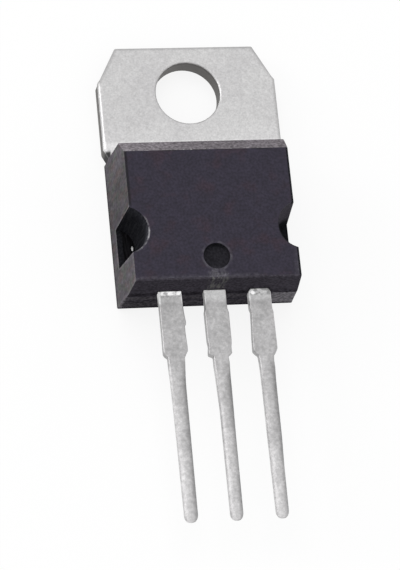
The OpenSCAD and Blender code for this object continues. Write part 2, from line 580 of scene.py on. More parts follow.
    def normal(self) -> list[Socket]:
        """Gives the three numbers of the surface's own direction."""
        return self.axes(self.add("NewGeometry", {}).outputs["Normal"])

    def mix(self, share: Value, first: Tint, second: Tint) -> Socket:
        """Mixes two colours.

        Args:
            share: The second one's share.
            first: One colour, as an output or as three numbers.
            second: The other one, likewise.

        Returns:
            The mixed colour.
        """
        node = self.add("Mix", {0: share}, data_type="RGBA")
        for value, socket in ((first, node.inputs[6]), (second, node.inputs[7])):
            self.link(value if isinstance(value, Socket) else (*value, 1), socket)
        return node.outputs[2]

    def tone(self, colour: Tint, factor: Value) -> Socket:
        """Multiplies a colour by a number."""
        node = self.add("VectorMath", {0: colour, "Scale": factor}, operation="SCALE")
        return node.outputs["Vector"]

    def shade(self, colour: Tint, mask: Value, factor: float) -> Socket:
        """Multiplies a colour by a number where a mask is 1."""
        return self.tone(colour, self.between(mask, 0, 1, 1, factor))

    def bump(self, height: Value, depth: float) -> None:
        """Gives the surface relief.

        Args:
            height: The relief, from 0 to 1.
            depth: What 1 stands for, in millimetres.
        """
        node = self.add("Bump", {"Height": height, "Distance": depth * MM})
        self.link(node.outputs["Normal"], self.shader.inputs["Normal"])


class Finish:
    """A finish of the part. Each kind describes itself to a graph in its dress method."""

    def dress(self, graph: Graph) -> None:
        """Feeds the surface shader of a graph."""
        raise NotImplementedError

    def material(self, name: str) -> bpy.types.Material:
        """Makes a material of the finish.

        Args:
            name: Name of the material.

        Returns:
            The material.
        """
        graph = Graph(name)
        self.dress(graph)
        return graph.material


@dataclass(frozen=True)
class FaceEpoxy(Finish):
    """Dark grey filled epoxy as the smooth front face of the mould leaves it.

    A dull rough patch shows where the gate was snapped off, on the face's edge over the centre
    lead. The face is paler along its rubbed edges, on the lead side and next to it on the output
    side, and has a painted highlight in a thin ring around the pin mark. It is darker where it
    turns over into the other walls, most of all on the output side, as painted shade. The input
    side's notch has a painted highlight along its rim. Lengths are in millimetres.

    Attributes:
        lead_edge: Where the face's edge on the lead side lies.
        tab_edge: Where its edge on the tab side lies.
        half: Half its width.
        mark: Place along the part and radius of the pin mark.
        notch: Distance from the middle, place along the part and radius of a notch at the face.
        colour: Its colour, cool and with a touch of violet.
        warm: The colour of the faint warm clouds in it.
        gate: Its colour where the gate was and where it is rubbed, and of the painted highlight
            ring.
        rim_glint: The colour of the painted highlight along the notch's rim.
        turn_shade: How much darker it is where it turns over, as painted shade.
    """

    lead_edge: float
    tab_edge: float
    half: float
    mark: tuple[float, float]
    notch: Numbers
    colour: Colour = (0.0275, 0.0235, 0.0385)
    warm: Colour = (0.034, 0.023, 0.0355)
    gate: Colour = (0.115, 0.11, 0.128)
    rim_glint: Colour = (0.42, 0.41, 0.43)
    turn_shade: float = 0.25

    def dress(self, graph: Graph) -> None:
        """Describes clouds of two tints, the marks on the face, and a fine grain.

        Args:
            graph: The material's graph.
        """
        times, between, noise = graph.times, graph.between, graph.noise
        across, along, _ = graph.axes(graph.place)
        front = between(graph.normal()[2], 0.8, 0.95)
        colour = graph.mix(between(noise(1.1, 3), 0.5, 0.7), self.colour, self.warm)

        # the gate's patch, which fades out from the edge on the lead side
        from_edge = graph.minus(along, self.lead_edge)
        ragged = between(noise(0.3, 2), 0.2, 0.8, -0.25, 0.25)
        patch = times(front, graph.band(graph.plus(across, ragged), -0.5, 0.4, 0.15),
                      between(from_edge, 0.15, 0.8, 1, 0),
                      between(noise(0.2, 2, (1, 3, 1)), 0.35, 0.6))
        colour = graph.mix(patch, colour, self.gate)

        # that whole edge is a little rubbed, and so is the first stretch of the output side's edge
        wear = times(front, between(from_edge, 0.05, 0.35, 0.5, 0),
                     between(noise(0.25, 2), 0.3, 0.6), between(across, 2.0, 3.0, 1, 0))
        colour = graph.mix(wear, colour, self.gate)
        side = times(front, between(across, self.half - 0.45, self.half - 0.12),
                     between(from_edge, 0.4, 1.3, 0.5, 0.15), between(from_edge, 2.2, 2.6, 1, 0),
                     between(noise(0.2, 2, shift=19), 0.3, 0.6, 0.3, 1))
        colour = graph.mix(side, colour, self.gate)

        # painted highlight in a ring around the pin mark, with gaps
        mark_y, mark_r = self.mark
        from_mark = graph.distance(across, graph.minus(along, mark_y))
        ring = times(graph.band(from_mark, mark_r - 0.05, mark_r + 0.12, 0.06),
                     between(noise(0.4, 3, shift=21), 0.35, 0.65, 0.05, 0.5))
        colour = graph.mix(ring, colour, self.gate)

        # painted highlight along the rim of the notch on the input side, strongest in the middle of
        # its arc
        notch_x, notch_y, notch_r = self.notch
        beside, beyond = graph.plus(across, notch_x), graph.minus(along, notch_y)
        from_notch = graph.distance(beside, beyond)
        rim = times(graph.band(from_notch, notch_r - 0.06, notch_r + 0.09, 0.02),
                    graph.band(beyond, -1.25, 0.7, 0.15),
                    between(noise(0.2, 2, shift=5), 0.35, 0.65, 0.2, 1),
                    between(beyond, -0.8, -0.4, 0.35, 1), between(beyond, -0.1, 0.25, 1, 0.3))
        colour = graph.mix(rim, colour, self.rim_glint)

        # painted shade where the face turns over, most of all on the output side, and at the crest
        turn = graph.plus(between(across, self.half - 0.16, self.half - 0.08),
                          times(between(across, 0.1 - self.half, 0.22 - self.half, 0.85, 0),
                                between(along, notch_y + 1.2, notch_y + 1.6)))
        crest = times(between(along, self.tab_edge - 0.13, self.tab_edge - 0.03),
                      between(noise(0.2, 2, (3, 1, 1), 14), 0.35, 0.6))
        colour = graph.shade(colour, graph.most(turn, times(crest, 0.8)), self.turn_shade)

        colour = graph.tone(colour, graph.grain(0.14, graph.plus(0.28, times(patch, 0.3))))
        colour = graph.tone(colour, graph.grain(0.6, 0.12, 4))
        relief = noise(0.07, 3)
        graph.set(Base_Color=colour, Roughness=between(relief, 0.3, 0.7, 0.42, 0.58), IOR=1.5,
                  Specular_IOR_Level=0.25)
        graph.bump(relief, 0.012)


@dataclass(frozen=True)
class ErodedEpoxy(Finish):
    """The same epoxy on the flanks and the sloped end, where the mould was spark eroded.

    These walls are paler than the face, partly as their coarse grain scatters the light and
    partly as painted light, the sheen that the light gives them. The flanks are mottled with a
    greener and a browner tint, paler at both ends, with painted highlights along their edges and
    a painted shadow along the foot. The sloped end is the palest, lighter towards the input side
    as painted light, with a few painted glints along its crest. Lengths are in millimetres.

    Attributes:
        ends: Where the sloped end's crest and the lead end lie.
        notch: Distance from the middle, place along the part and radius of a notch at the
            heatsink face.
        widening: How much that radius grows with each millimetre of height.
        flank: Its colour on the flanks, paler in part as painted light.
        earthy: The colour of the flanks' browner clouds.
        green: The colour of their greener clouds.
        slope: Its colour on the sloped end, paler in part as painted light.
        crest_glint: The colour of the painted glints along the crest.
        drawn: How the mould's opening draws its grain out, along each axis.
        grain: Size of the mould's grain.
    """

    ends: tuple[float, float]
    notch: Numbers
    widening: float = 0.071
    flank: Colour = (0.132, 0.122, 0.138)
    earthy: Colour = (0.143, 0.12, 0.124)
    green: Colour = (0.12, 0.124, 0.12)
    slope: Colour = (0.195, 0.178, 0.194)
    crest_glint: Colour = (0.75, 0.75, 0.75)
    drawn: Numbers = (1, 1, 2)
    grain: float = 0.15

    def dress(self, graph: Graph) -> None:
        """Describes three tints in clouds, tones with painted light and shade, and a coarse grain.

        Args:
            graph: The material's graph.
        """
        times, between, noise = graph.times, graph.between, graph.noise
        across, along, height = graph.axes(graph.place)
        crest, lead_end = self.ends
        brown = between(noise(0.5, 3, self.drawn, 9), 0.45, 0.65)
        greener = between(noise(0.4, 3, self.drawn, 17), 0.45, 0.65)
        colour = graph.mix(greener, graph.mix(brown, self.flank, self.earthy), self.green)

        # the flanks are paler towards both ends, and darker along the foot as painted shadow
        colour = graph.tone(colour, times(between(along, crest - 1.6, crest, 0.95, 1.2),
                                          between(along, lead_end + 1.5, lead_end + 4.0, 1.22, 1),
                                          between(height, 0.05, 0.35, 0.4, 1)))

        # spotted painted highlights on the notches' lips, the lead end's corners and the edge near
        # them
        notch_x, notch_y, notch_r = self.notch
        from_notch = graph.distance(graph.minus(graph.off(across), notch_x),
                                    graph.minus(along, notch_y))
        outside = graph.minus(from_notch, times(height, self.widening))
        lip = times(between(outside, notch_r + 0.02, notch_r + 0.18, 0.65, 0),
                    between(height, 0.9, 1.3))
        corner = between(along, lead_end + 0.12, lead_end + 0.42, 0.4, 0)
        edge = times(between(height, 4.15, 4.4),
                     between(along, lead_end + 1.6, lead_end + 2.6, 0.16, 0))
        spotted = between(noise(0.13, 2, (1, 1, 2), 23), 0.3, 0.6, 0.4, 1)
        colour = graph.tone(colour, graph.plus(1, times(graph.plus(lip, corner, edge), spotted)))

        # the sloped end, paler as painted sheen and lighter towards the input side as painted light
        slope = between(graph.normal()[1], 0.35, 0.6)
        # painted glints along the crest
        tops = times(slope, graph.band(along, crest - 0.04, crest + 0.08, 0.03),
                     between(noise(0.12, 2, shift=30), 0.66, 0.72))
        plain = graph.tone(self.slope, between(across, -3.5, -1.0, 1.25, 1))
        colour = graph.mix(slope, colour, graph.mix(times(tops, 0.9), plain, self.crest_glint))

        strength = between(slope, 0, 1, 0.2, 0.4)
        colour = graph.tone(colour, times(graph.grain(self.grain, strength, 0, self.drawn),
                                          graph.grain(0.35, 0.14, 3, self.drawn),
                                          graph.grain(0.9, 0.1, 4, self.drawn)))
        relief = noise(0.09, 3)
        graph.set(Base_Color=colour, Roughness=between(relief, 0.3, 0.7, 0.7, 0.85),
                  Specular_IOR_Level=0.0)
        graph.bump(relief, 0.02)


@dataclass(frozen=True)
class PolishedEpoxy(Finish):
    """The same epoxy where a polished pin of the mould formed it, smooth and near black.

    It lines the notches and the pin mark, and the output side's long edge of the front face is
    as dark. Its near black is partly the smooth epoxy's own and partly painted shade, and it
    carries painted light in the notches and on the pin mark's floor. Lengths are in millimetres.

    Attributes:
        mark: Place along the part and radius of the pin mark.
        notch_y: Place of the notches along the part.
        face: Height of the front face.
        face_half: Half the width of the front face.
        colour: Its colour.
        drawn: The colour of the faint marks that the pin drew along its own axis.
        lit_notch: Its colour in the notch on the output side, paler as painted light.
        mark_floor_lit: Its colour on the floor of the pin mark, paler as painted light.
        floor: Height below which the output side's notch is as dark as the other.
    """

    mark: tuple[float, float]
    notch_y: float
    face: float
    face_half: float
    colour: Colour = (0.015, 0.0152, 0.0185)
    drawn: Colour = (0.024, 0.0245, 0.028)
    lit_notch: Colour = (0.095, 0.088, 0.105)
    mark_floor_lit: Colour = (0.0245, 0.0235, 0.0285)
    floor: float = 1.7

    def dress(self, graph: Graph) -> None:
        """Describes a dark gloss with marks that are long in the direction of the pin.

        Args:
            graph: The material's graph.
        """
        times, between = graph.times, graph.between
        across, along, height = graph.axes(graph.place)
        marks = graph.noise(0.12, 2, (1, 1, 12))
        colour = graph.mix(between(marks, 0.4, 0.65), self.colour, self.drawn)

        # painted light in the output side's notch, apart from the face's rolled edge over it
        rolled = graph.most(between(across, self.face_half - 0.2, self.face_half - 0.14),
                            between(along, self.notch_y - 0.2, self.notch_y + 1.0, 0.9, 0.45))
        rolled = times(rolled, between(height, self.face - 0.1, self.face - 0.06))
        dull = times(between(across, 2.0, 2.1), between(height, self.floor, self.floor + 1),
                     graph.but(rolled))
        colour = graph.mix(dull, colour, self.lit_notch)

        # painted light: the input side's notch is lighter towards the face, most of all at its lead
        # end
        lit = times(between(height, self.face - 1.1, self.face - 0.2), between(across, -2.0, -2.1),
                    between(along, self.notch_y - 0.3, self.notch_y + 0.6, 2.2, 0.7))
        colour = graph.tone(colour, graph.plus(1, lit))

        # painted light on the pin mark's floor, growing towards the lead side; by the tab side's
        # wall it stays dark as painted shadow
        mark_y, mark_r = self.mark
        beyond = graph.minus(along, mark_y)
        inside = times(between(graph.distance(across, beyond), mark_r, mark_r + 0.05, 1, 0),
                       between(beyond, 0.45 * mark_r, 0.85 * mark_r, 1, 0))
        mark_floor_lit = graph.tone(self.mark_floor_lit, between(beyond, -1.05 * mark_r, -0.5 * mark_r, 1.95, 1))
        colour = graph.mix(inside, colour, mark_floor_lit)

        graph.set(Base_Color=graph.tone(colour, graph.grain(0.12, 0.3)),
                  Roughness=between(marks, 0.3, 0.7, 0.22, 0.34), Specular_IOR_Level=0.0)
        graph.bump(marks, 0.003)


@dataclass(frozen=True)
class LeadEndEpoxy(Finish):
    """The same epoxy on the lead end, where the two halves of the mould and the leads part.

    The dam between the leads leaves it grainy: dark along the parting line, and lighter just
    below it and near the foot. It is lighter towards the output lead and lightest beyond it, as
    painted reflection of the floor, with a painted highlight on the input side's corner and a
    painted shadow along the foot. The gate's scar runs up over the centre lead. Lengths are in
    millimetres.

    Attributes:
        parting: Height of the parting line.
        colour: Its colour.
        light: The colour of its lighter bands.
        pale: The colour of the painted light past the output lead and on the input side's corner.
        scar: The colour of the gate's scar, more neutral than the rest.
        corner: Distance from the middle where the parting line ends and the painted light starts.
        rim: Distance from the middle where the painted highlight on the input side's corner starts.
    """

    parting: float
    colour: Colour = (0.0555, 0.0505, 0.0625)
    light: Colour = (0.082, 0.076, 0.087)
    pale: Colour = (0.24, 0.228, 0.25)
    scar: Colour = (0.16, 0.16, 0.152)
    corner: float = 3.35
    rim: float = 4.75

    def dress(self, graph: Graph) -> None:
        """Describes bands masked by height, under a strong grain.

        Args:
            graph: The material's graph.
        """
        times, between, noise = graph.times, graph.between, graph.noise
        across, _, height = graph.axes(graph.place)
        parting, corner = self.parting, self.corner

        # the lighter bands, with ragged edges, and painted light over the parting line at the corner
        level = graph.plus(height, between(noise(0.35, 2, (3, 1, 1), 2), 0.2, 0.8, -0.15, 0.15))
        light = graph.most(graph.band(level, parting - 0.95, parting - 0.25, 0.12),
                           graph.band(level, 0.4, 1.15, 0.15))
        colour = graph.mix(light, self.colour, self.light)
        beyond = times(between(across, corner - 1.2, corner),
                       between(height, parting + 0.1, parting + 0.5))
        colour = graph.shade(colour, beyond, 1.18)

        # painted reflection of the floor beyond the output lead, and the dark parting line up to it
        pale = times(between(across, corner - 0.1, corner + 0.2),
                     between(level, parting - 0.35, parting - 0.15, 1, 0),
                     between(level, 0.2, 0.45))
        colour = graph.mix(pale, colour, self.pale)
        dark = times(graph.band(level, parting - 0.12, parting + 0.22, 0.1),
                     between(across, corner - 0.2, corner, 1, 0))
        colour = graph.shade(colour, dark, 0.55)

        # the gate's scar and the painted highlight on the input side's corner
        streaks = between(noise(0.16, 2, (1, 1, 8), 6), 0.4, 0.65)
        scar = times(graph.band(across, -0.5, 0.5, 0.15), streaks, 0.8,
                     between(height, parting + 0.4, parting + 0.8))
        colour = graph.mix(scar, colour, self.scar)
        rim = times(between(across, -self.rim, -self.rim - 0.2), between(noise(0.15, 2), 0.3, 0.6))
        colour = graph.mix(rim, colour, self.pale)
        # painted shadow along the foot
        colour = graph.tone(colour, between(height, 0.06, 0.2, 0.35, 1))

        colour = graph.tone(colour, graph.grain(0.16, between(height, 2.6, 2.9, 0.6, 0.36), 8))
        graph.set(Base_Color=colour, Roughness=between(streaks, 0, 1, 0.45, 0.6),
                  Specular_IOR_Level=0.0)
        graph.bump(noise(0.12, 3), 0.01)


@dataclass(frozen=True)
class TinPlate(Finish):
    """Matt tin plate: cloudy and pitted, duller on the leads, torn where the sheet was punched.

    Lengths are in millimetres.

    Attributes:
        thickness: Thickness of the header.
        hole_r: Radius of its hole.
        body_end: Where the leads leave the body.
        tab_end: Where the tab leaves it; the input side's shoulder next to it has a painted shadow.
        bright: The plate's own colour on the header.
        dull: The colour of its duller clouds.
        lead: The plate's colour on the leads.
        cloud: Size of the clouds.
        torn: The colour of the torn walls of the header.
        painted_shade: The near-black painted shade on the notches' floors and the input shoulder.
        ear_from: How far from the middle the painted shade on the ears starts.
        ear_span: The places along the part between which the notches lie.
        shoulder: How far from the middle the painted shadow on the shoulder starts.
        tab: Half the width of the tab and the place of its free end.
        cut: For the line of the tab's cut corners, its direction square to it across and along
            the part, and how far it lies from the hole's centre.
        pitch: Spacing of the leads.
        notch_glint: Place across, place along and radius of the painted white glint on the input
            side's notch floor.
        flash_highlight: The colour of squeezed-out tin at the roots and of all painted highlights.
        thin: The colour of the thin tin around it, paler as painted light.
        blot: The colour of the dark blots in that.
        bead: Place from the output lead's middle, place from the body and radius of the bead of
            tin at that lead's root, bright as a painted highlight.
        flash_l: How far the squeezed tin reaches out from the body.
        root_l: How far the roots reach out from the body, as they swell towards it.
    """

    thickness: float
    hole_r: float
    body_end: float
    tab_end: float
    bright: Colour = (0.62, 0.615, 0.615)
    dull: Colour = (0.585, 0.578, 0.582)
    lead: Colour = (0.478, 0.472, 0.475)
    cloud: float = 2.2
    torn: Colour = (0.14, 0.135, 0.13)
    painted_shade: Colour = (0.010, 0.0098, 0.011)
    ear_from: float = 3.3
    ear_span: tuple[float, float] = (-10.9, -7.9)
    shoulder: float = 4.75
    tab: tuple[float, float] = (5.175, 2.85)
    cut: Numbers = (0.875, 0.484, 4.893)
    pitch: float = 2.54
    notch_glint: Numbers = (-4.1, -9.4, 0.06)
    flash_highlight: Colour = (0.97, 0.97, 0.97)
    thin: Colour = (0.8, 0.8, 0.8)
    blot: Colour = (0.24, 0.24, 0.24)
    bead: Numbers = (-0.42, 0.22, 0.07)
    flash_l: float = 0.16
    root_l: float = 0.7

    def sheet(self, graph: Graph) -> Socket:
        """Gives the plate's colour on the header, before it is torn or filmed over.

        Args:
            graph: The material's graph.

        Returns:
            The colour.
        """
        times, between = graph.times, graph.between
        across, along, _ = graph.axes(graph.place)
        clouds = between(graph.noise(self.cloud, 3), 0.35, 0.65)
        colour = graph.mix(clouds, self.dull, self.bright)

        # painted highlight: brighter next to the body, most of all in a thin strip along it
        colour = graph.tone(colour, times(between(along, -3.2, -1.2, 1.08, 1),
                                          between(along, -3.1, -2.86, 1.2, 1)))

        # painted shade: darker along the free edges, but not on the input side
        half, end = self.tab
        cut_x, cut_y, cut_from = self.cut
        inside_cut = graph.plus(times(graph.off(across), -cut_x), times(along, -cut_y), cut_from)
        free = graph.least(graph.least(graph.minus(half, across), graph.minus(end, along)),
                           inside_cut)
        return graph.tone(colour, between(free, 0.04, 0.26, 0.72, 1))

    def torn_walls(self, graph: Graph) -> Socket:
        """Masks the torn part of the punched walls, higher up in the hole than on the outside.

        Args:
            graph: The material's graph.

        Returns:
            1 where the wall is torn.
        """
        between = graph.between
        across, along, height = graph.axes(graph.place)
        up = graph.off(graph.normal()[2])
        edge = between(graph.distance(across, along), self.hole_r + 0.2, self.hole_r + 0.3,
                       0.93 * self.thickness, 0.74 * self.thickness)
        ragged = between(graph.noise(0.25, 2, (1, 1, 3)), 0.2, 0.8, -0.06, 0.06)
        over = graph.minus(graph.plus(height, ragged), edge)
        return graph.times(between(up, 0.3, 0.55, 1, 0), between(over, -0.04, 0.04, 1, 0))

    def ear_shade(self, graph: Graph) -> Socket:
        """Masks the painted shade on the ears, where they floor the notches.

        Args:
            graph: The material's graph.

        Returns:
            1 on the painted shade.
        """
        between = graph.between
        across, along, height = graph.axes(graph.place)
        low, high = self.ear_span
        return graph.times(between(graph.off(across), self.ear_from, self.ear_from + 0.02),
                           between(along, low, low + 0.02), between(along, high - 0.02, high, 1, 0),
                           between(height, 0.9, 1))

    def pin_light(self, graph: Graph, beside: Socket, out: Socket) -> Socket:
        """Gives the painted light and shade across the pins, as a factor.

        They are brighter on their input sides, with a band of painted shade near there that dims the
        highlight, darker towards their output sides, and a little darker towards their tips.

        Args:
            graph: The material's graph.
            beside: Distance to the output side of a lead's centre line.
            out: Distance from the body.

        Returns:
            A factor around 1.
        """
        between = graph.between
        crown = between(graph.band(beside, -0.41, -0.27, 0.05), 0, 1, 1, 0.85)
        return graph.times(between(beside, -0.42, -0.34, 1.2, 1), crown,
                           between(beside, -0.25, 0.3, 1.07, 0.9),
                           between(beside, 0.05, 0.4, 1, 0.64), between(out, 4.0, 11.0, 1.03, 0.97))

    def dress(self, graph: Graph) -> None:
        """Describes the plate, each part of it masked by its place on the piece.

        Args:
            graph: The material's graph.
        """
        times, between, noise = graph.times, graph.between, graph.noise
        across, along, _ = graph.axes(graph.place)
        pits = noise(0.09, 2, shift=3)
        tear = self.torn_walls(graph)
        colour = graph.mix(tear, self.sheet(graph), self.torn)

        # painted shadow on the input side's shoulder, next to the body
        shoulder_shadow = times(between(across, -self.shoulder, -self.shoulder - 0.13),
                      between(along, self.tab_end + 0.45, self.tab_end + 0.25), 0.95)
        colour = graph.mix(shoulder_shadow, colour, self.painted_shade)

        # painted shade on the ears, a dark reflection streaked along the flank, and a painted glint
        ear_shade = self.ear_shade(graph)
        streaks = between(noise(0.1, 2, (1, 10, 1)), 0.4, 0.65)
        colour = graph.mix(ear_shade, colour, graph.mix(streaks, self.painted_shade, [2.6 * c for c in self.painted_shade]))
        # painted highlight: a white glint on the input notch's floor
        glint_x, glint_y, glint_r = self.notch_glint
        from_glint = graph.distance(times(graph.minus(across, glint_x), 1.4),
                                    times(graph.minus(along, glint_y), 0.6))
        spot = times(ear_shade, between(from_glint, glint_r, 1.6 * glint_r, 1, 0))
        colour = graph.mix(spot, colour, self.flash_highlight)

        # the leads are duller and finely mottled, and darker on their cut walls
        out = graph.minus(self.body_end, along)
        beside = graph.plus(graph.math("MODULO", graph.plus(across, 4.5 * self.pitch), self.pitch),
                            -self.pitch / 2)
        on_lead, on_pin = between(out, -0.1, 0.0), between(out, 3.6, 5.2)
        mottle = times(graph.grain(0.7, 0.09, 5, (1, 2, 1)), graph.grain(0.2, 0.12, 6),
                       between(out, 3.5, 12, 1, 1.3))
        colour = graph.mix(on_lead, colour, graph.tone(self.lead, mottle))
        # painted light and shade across the pins
        dipped = times(on_lead, on_pin, graph.minus(self.pin_light(graph, beside, out), 1))
        colour = graph.tone(colour, graph.plus(1, dipped))
        # on the pins only the output-side walls are darker, as painted shade
        wall = times(on_lead, between(graph.off(graph.normal()[2]), 0.3, 0.6, 1, 0),
                     graph.but(times(on_pin, between(beside, -0.1, 0.1, 1, 0))))
        colour = graph.shade(colour, wall, 0.78)

        # tin squeezed out at the roots: thin, paler as painted light, and blotted dark
        input_side, output_side = between(across, -1.2, -1.3), between(across, 1.2, 1.3)
        root = times(on_lead, between(out, 0.3, 0.9, 1, 0))
        squeezed = times(root, between(out, self.flash_l, self.flash_l + 0.11, 1, 0), input_side,
                         between(noise(0.3, 2, shift=8), 0.38, 0.55))
        pale = times(root, between(input_side, 0, 1, 0.75, 0.15),
                     between(output_side, 0, 1, 1, 0.7))
        colour = graph.mix(pale, colour, self.thin)
        where = graph.most(times(output_side, between(out, 0.25, 0.45, 1, 0)),
                           times(input_side, graph.band(out, 0.2, 0.36, 0.05), 0.6))
        blotch = times(where, between(noise(0.25, 2, shift=12), 0.42, 0.55), on_lead, 0.8)
        colour = graph.mix(blotch, colour, self.blot)
        # the input lead's squeezed tin, bright as painted highlight
        colour = graph.mix(squeezed, colour, self.flash_highlight)

        # painted highlights along the roots' edges and on the output lead's bead of tin
        burr = times(on_lead, between(graph.off(beside), 0.54, 0.6), between(out, 0.5, 0.9, 0.6, 0))
        colour = graph.mix(burr, colour, self.flash_highlight)
        bead_x, bead_out, bead_r = self.bead
        from_bead = graph.distance(graph.minus(beside, bead_x), graph.minus(out, bead_out))
        bead = times(output_side, between(from_bead, bead_r, bead_r + 0.08, 1, 0))
        colour = graph.mix(bead, colour, self.flash_highlight)

        # the painted glint and the roots' paler tin are partly non-metal; roots swell to the body
        colour = graph.tone(colour, between(pits, 0.25, 0.75, 0.9, 1.1))
        colour = graph.tone(colour, graph.grain(0.22, 0.06, 7))
        rough = graph.plus(between(pits, 0.3, 0.7, 0.38, 0.46), times(tear, 0.2), times(ear_shade, 0.35),
                           times(on_lead, on_pin, 0.16))
        diffuse_share = graph.plus(times(root, between(graph.most(squeezed, bead), 0, 1, 0.25, 0)), spot)
        graph.set(Base_Color=colour, Metallic=graph.but(diffuse_share), Roughness=rough)
        torn_grain = times(tear, noise(0.05, 3, (1, 1, 4), shift=11), 3)
        steep = graph.plus(55, times(input_side, 150), times(output_side, 60))
        rise = graph.most(graph.minus(self.root_l, out), 0)
        graph.bump(graph.plus(pits, torn_grain, times(on_lead, rise, rise, steep)), 0.003)


@dataclass(frozen=True)
class PlainMetal(Finish):
    """A metal, or silicon, with a fine brushed or reflowed surface, for the pieces inside.

    Attributes:
        colour: Its colour.
        rough: Its roughness.
        patch: Size of its uneven patches in millimetres.
        stretch: How many times longer the patches are along each axis.
    """

    colour: Colour
    rough: float
    patch: float
    stretch: Numbers = (1, 1, 1)

    def dress(self, graph: Graph) -> None:
        """Describes patches that change the colour and the roughness a little.

        Args:
            graph: The material's graph.
        """
        patches = graph.noise(self.patch, 3, self.stretch)
        darker = tuple(0.8 * value for value in self.colour)
        graph.set(Base_Color=graph.mix(patches, darker, self.colour), Metallic=1.0,
                  Roughness=graph.between(patches, 0.3, 0.7, 0.8 * self.rough, 1.2 * self.rough))
        graph.bump(patches, 0.002)


# ---- leads --------------------------------------------------------------------------------------


@dataclass
class Lead:
    """One lead: a strip with rolled edges that widens next to the body and ends in a rounded tip.

    Sizes are in millimetres. The path runs along the back face of the strip, from inside the
    body to the tip, as [y, z].

    Attributes:
        name: Name of the piece.
        centre_x: Where its centre line lies.
        path: Corners of the path.
        body_end: Where the lead leaves the body.
        tip: Where it ends.
        edges: For the right edge and the left edge, pairs of a distance from the body and how far
            the edge lies there from the centre line.
        thickness: Thickness of the strip.
        post: Half the width, and the two places between which the lead widens to it in the body.
        tip_l: Length of the rounded tip.
        tip_flat: Half the width that is left at the very end.
    """

    name: str
    centre_x: float
    path: np.ndarray
    body_end: float
    tip: float
    edges: tuple[tuple[tuple[float, float], ...], ...]
    thickness: float = 0.5
    post: tuple[float, float, float] | None = None
    tip_l: float = 0.42
    tip_flat: float = 0.1

    def reach(self, side: int, y: np.ndarray) -> np.ndarray:
        """Gives how far an edge lies from the centre line at places along the lead.

        It follows straight lines between the given pairs, with their corners softened by the mean
        of three nearby values, grows to the post inside along a cubic, and rounds off over the
        tip as a quarter of an ellipse.

        Args:
            side: 0 for the right edge and 1 for the left edge.
            y: Places along the lead.

        Returns:
            The distance at each of the places.
        """
        soft = 0.03
        out = self.body_end - y
        spots, widths = np.array(self.edges[side]).T
        near = out[:, None] + soft * np.array([[-1, 0, 1]])
        half = np.interp(near, spots, widths).mean(axis=1)
        if self.post:
            post, start, end = self.post
            half = half + (post - half) * smooth_step(start, end, y)
        near_tip = np.clip(1 + (self.tip - y) / self.tip_l, 0, 1)
        return half - (half - self.tip_flat) * (1 - np.sqrt(1 - near_tip ** 2))

    def stations(self) -> tuple[np.ndarray, np.ndarray]:
        """Walks the path, with an arc at each bend and close steps where the edges turn.

        Returns:
            The points of the path, and the direction of the strip's front face at each.
        """
        bend, bend_steps, even_steps, tip_steps = 0.2, 6, 40, 9
        beside_turn = np.array([[-0.05, -0.02, 0, 0.02, 0.05]])
        points = [self.path[0]]
        for before, corner, after in zip(self.path[:-2], self.path[1:-1], self.path[2:]):
            start = corner + bend * (before - corner) / np.linalg.norm(before - corner)
            end = corner + bend * (after - corner) / np.linalg.norm(after - corner)
            share = np.linspace(0, 1, bend_steps)[:, None]
            points += list((1 - share) ** 2 * start + 2 * share * (1 - share) * corner
                           + share ** 2 * end)
        length = self.body_end - self.tip
        turns = np.array([spot for edge in self.edges for spot, _ in edge])
        close = (turns[:, None] + beside_turn).ravel()
        evenly = np.linspace(0, length - self.tip_l - 0.1, even_steps)
        out = np.unique(np.round(np.concatenate([evenly, close]), 2))
        out = out[(out >= 0) & (out < length - self.tip_l - 0.02)]
        tip = length - self.tip_l * (1 - np.sin(np.linspace(0, np.pi / 2, tip_steps)))
        out = np.concatenate([out, tip])
        straight = np.stack([self.body_end - out, np.full(len(out), self.path[-1][1])], axis=-1)
        walk = np.vstack([np.array(points), straight])
        ahead = np.gradient(walk, axis=0)
        ahead /= np.linalg.norm(ahead, axis=1, keepdims=True)
        return walk, np.stack([ahead[:, 1], -ahead[:, 0]], axis=-1)

    def build(self) -> bpy.types.Object:
        """Carries the section along the path.

        The section runs down one stamped edge and up the other, and turns from the rolled edges
        of the wide part into the rounder ones of the dipped pin. At each station a point lies as
        far from the centre line as the edge, less its inset, and its height over the back face
        along the direction of the front face. Over the tip the height shrinks to the middle.

        Returns:
            The lead, in millimetres.
        """
        sharp = CutEdge(self.thickness, roll_w=0.07, roll_h=0.06, tear=0.01, burr=0.03,
                        support=0.03)
        round_off = CutEdge(self.thickness, roll_w=0.36, roll_h=0.2, burnished=0.55, tear=0.0,
                            burr=0.13, support=0.03)
        dip_start, dip_end, tip_thin, least = 3.9, 5.2, 0.5, 0.01
        walk, front = self.stations()
        out = self.body_end - walk[:, 0]
        dipped = smooth_step(dip_start, dip_end, out)[:, None]
        (inset, height), (inset_to, height_to) = sharp.profile(), round_off.profile()
        inset = inset + (inset_to - inset) * dipped
        height = height + (height_to - height) * dipped
        right, left = (self.reach(side, walk[:, 0])[:, None] for side in (0, 1))
        near_tip = np.clip(1 + (self.tip - walk[:, :1]) / self.tip_l, 0, 1)
        thin = 1 - tip_thin * (1 - np.sqrt(1 - near_tip ** 2))
        middle = self.thickness / 2
        lift = middle + (np.hstack([height, height[:, ::-1]]) - middle) * thin
        grid = np.empty((*lift.shape, 3))
        grid[..., 0] = self.centre_x + np.hstack([np.maximum(right - inset, least),
                                                  -np.maximum(left - inset, least)[:, ::-1]])
        grid[..., 1:] = walk[:, None] + front[:, None] * lift[..., None]
        skin = Skin()
        rings = skin.add_grid(grid)
        skin.add_end(rings[0])
        skin.add_end(rings[-1])
        return skin.piece(self.name)


# ---- header -------------------------------------------------------------------------------------


